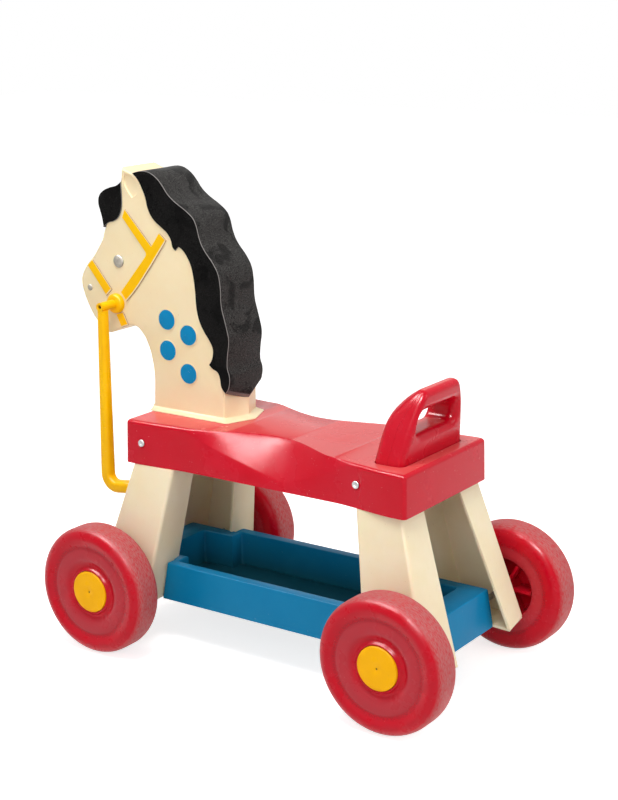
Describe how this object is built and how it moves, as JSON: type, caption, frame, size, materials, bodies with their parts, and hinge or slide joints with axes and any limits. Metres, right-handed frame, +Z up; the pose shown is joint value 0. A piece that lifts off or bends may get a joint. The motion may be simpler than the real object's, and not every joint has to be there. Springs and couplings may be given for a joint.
{
  "type": "ride-on horse toy",
  "caption": "Child's ride-on horse: saddle seat with rear grab handle on straddling legs, storage tray below, plastic wheels, and stiff reins that swing at the mouth.",
  "frame": {"origin": "middle of the bounding box's bottom, on the floor under the toy", "axes": "+X towards the horse's nose, +Y to the horse's left, +Z up"},
  "size_m": [0.5332, 0.2936, 0.5108],
  "materials": {
    "cream_plastic": "cream moulded polyethylene, satin gloss",
    "red_plastic": "red moulded polyethylene, satin gloss, scuffed",
    "blue_plastic": "blue moulded polyethylene, satin",
    "yellow_plastic": "yellow moulded plastic, satin gloss",
    "black_plastic": "black moulded plastic, gloss with a little dust",
    "yellow_label": "printed vinyl label, yellow with a cream border",
    "blue_label": "printed vinyl label, blue with a pale border",
    "steel_rod": "plain drawn steel",
    "zinc_rivet": "dull zinc plate",
    "grey_stud": "dull grey metal dome"
  },
  "bodies": {
    "horse_body": {"leg_front_left": "cream_plastic", "leg_front_right": "cream_plastic", "leg_rear_left": "cream_plastic", "leg_rear_right": "cream_plastic", "storage_tray": "blue_plastic", "seat_shell": "red_plastic", "seat_cross_pin_front": "zinc_rivet", "seat_cross_pin_rear": "zinc_rivet", "rear_handle": "red_plastic", "head_neck": "cream_plastic", "mane": "black_plastic", "forelock": "black_plastic", "eye_stud_left": "grey_stud", "eye_stud_right": "grey_stud", "nostril_stud_left": "grey_stud", "nostril_stud_right": "grey_stud", "cheek_strap_label_left": "yellow_label", "cheek_strap_label_right": "yellow_label", "nose_strap_label_left": "yellow_label", "nose_strap_label_right": "yellow_label", "chin_strap_label_left": "yellow_label", "chin_strap_label_right": "yellow_label", "spot_label_left_1": "blue_label", "spot_label_left_2": "blue_label", "spot_label_left_3": "blue_label", "spot_label_left_4": "blue_label", "spot_label_right_1": "blue_label", "spot_label_right_2": "blue_label", "spot_label_right_3": "blue_label", "spot_label_right_4": "blue_label", "bit_pin": "steel_rod", "axle_front": "steel_rod", "axle_rear": "steel_rod", "push_nut_front_left": "zinc_rivet", "push_nut_front_right": "zinc_rivet", "push_nut_rear_left": "zinc_rivet", "push_nut_rear_right": "zinc_rivet", "wheel_spacer_front_left": "black_plastic", "wheel_spacer_front_right": "black_plastic", "wheel_spacer_rear_left": "black_plastic", "wheel_spacer_rear_right": "black_plastic"},
    "front_left_wheel": {"wheel_front_left": "red_plastic", "hub_cap_front_left": "yellow_plastic"},
    "front_right_wheel": {"wheel_front_right": "red_plastic", "hub_cap_front_right": "yellow_plastic"},
    "rear_left_wheel": {"wheel_rear_left": "red_plastic", "hub_cap_rear_left": "yellow_plastic"},
    "rear_right_wheel": {"wheel_rear_right": "red_plastic", "hub_cap_rear_right": "yellow_plastic"},
    "reins": {"reins_bar": "yellow_plastic"}
  },
  "joints": [
    {"name": "front_left_spin", "type": "hinge", "parent": "horse_body", "child": "front_left_wheel", "pos_m": [0.1674, 0.1268, 0.07], "axis": [0, 1, 0], "continuous": true},
    {"name": "front_right_spin", "type": "hinge", "parent": "horse_body", "child": "front_right_wheel", "pos_m": [0.1674, -0.1268, 0.07], "axis": [0, 1, 0], "continuous": true},
    {"name": "rear_left_spin", "type": "hinge", "parent": "horse_body", "child": "rear_left_wheel", "pos_m": [-0.1966, 0.1268, 0.07], "axis": [0, 1, 0], "continuous": true},
    {"name": "rear_right_spin", "type": "hinge", "parent": "horse_body", "child": "rear_right_wheel", "pos_m": [-0.1966, -0.1268, 0.07], "axis": [0, 1, 0], "continuous": true},
    {"name": "reins_swing", "type": "hinge", "parent": "horse_body", "child": "reins", "pos_m": [0.2149, 0, 0.361], "axis": [0, -1, 0], "range_deg": [-0.4, 300]}
  ]
}
